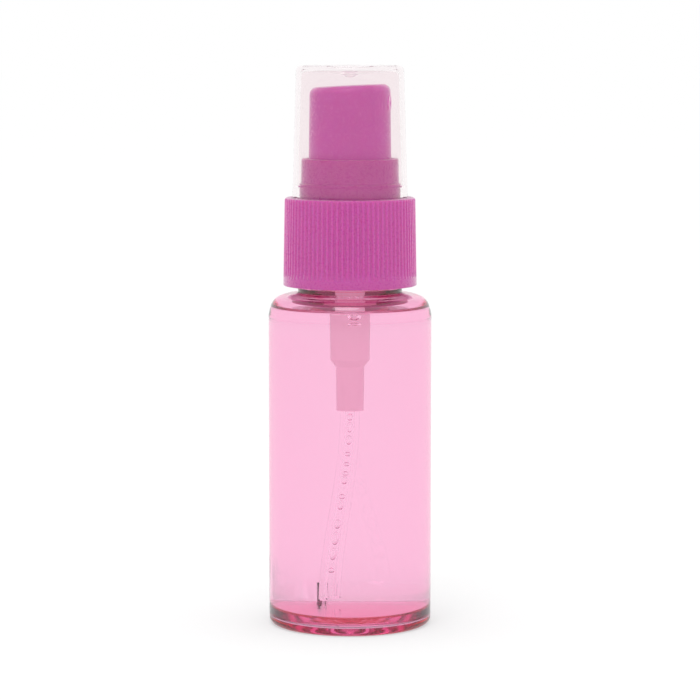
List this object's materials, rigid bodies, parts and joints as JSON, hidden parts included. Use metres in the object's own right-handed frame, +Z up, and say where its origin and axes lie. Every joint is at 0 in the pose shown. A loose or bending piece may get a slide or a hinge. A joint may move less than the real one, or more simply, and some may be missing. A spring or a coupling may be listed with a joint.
{
  "type": "fine-mist spray bottle",
  "caption": "Slim clear spray bottle with a ribbed screw closure, press button, fine-mist pump with dip tube and clear overcap, filled with perfume.",
  "frame": {"origin": "centre of the bottle's footprint, on the plane of its contact ring", "axes": "+Z up along the bottle's axis; +X is the way the nozzle points; +Y completes the right-handed frame"},
  "size_m": [0.0294, 0.0294, 0.1011],
  "materials": {
    "clear_bottle": "clear blown plastic, glossy",
    "perfume": "clear tinted liquid",
    "clear_cap": "clear, very slightly milky",
    "coloured_plastic": "satin to gloss moulded plastic",
    "nozzle_plastic": "moulded, gloss",
    "milky_plastic": "natural translucent moulded plastic",
    "clear_tube": "clear extruded tube",
    "seal_plastic": "soft natural plastic",
    "spring_steel": "drawn wire"
  },
  "bodies": {
    "bottle": {"bottle": "clear_bottle", "perfume_fill": "perfume"},
    "pump": {"pump_housing": "milky_plastic", "neck_gasket": "seal_plastic", "stem_guide": "milky_plastic", "dip_tube": "clear_tube", "return_spring": "spring_steel"},
    "closure": {"closure": "coloured_plastic"},
    "overcap": {"overcap": "clear_cap"},
    "stem": {"stem": "milky_plastic", "valve_spring": "spring_steel"},
    "button": {"actuator": "coloured_plastic", "nozzle_insert": "nozzle_plastic"},
    "piston": {"piston": "seal_plastic"},
    "inlet_ball": {"inlet_ball": "spring_steel"}
  },
  "joints": [
    {"name": "pump_lift", "type": "slide", "parent": "bottle", "child": "pump", "axis": [0, 0, 1], "range_m": [0, 0.00477]},
    {"name": "closure_turn", "type": "hinge", "parent": "pump", "child": "closure", "pos_m": [0, 0, 0.0687], "axis": [0, 0, 1], "range_deg": [0, 540]},
    {"name": "overcap_lift", "type": "slide", "parent": "closure", "child": "overcap", "axis": [0, 0, 1], "range_m": [0, 0.03]},
    {"name": "button_press", "type": "slide", "parent": "pump", "child": "stem", "axis": [0, 0, -1], "range_m": [0, 0.0045], "stiffness_N_per_m": 900, "springref_m": -0.004, "deforming": ["return_spring"]},
    {"name": "button_swivel", "type": "hinge", "parent": "stem", "child": "button", "pos_m": [0, 0, 0.088], "axis": [0, 0, 1], "continuous": true},
    {"name": "piston_slip", "type": "slide", "parent": "stem", "child": "piston", "axis": [0, 0, 1], "range_m": [0, 0.0006], "stiffness_N_per_m": 300, "springref_m": -0.001, "deforming": ["valve_spring"]},
    {"name": "ball_lift", "type": "slide", "parent": "pump", "child": "inlet_ball", "axis": [0, 0, 1], "range_m": [0, 0.001]}
  ],
  "couplings": [
    {"joint": "pump_lift", "follows": "closure_turn", "m_per_rad": 0.00050532}
  ]
}
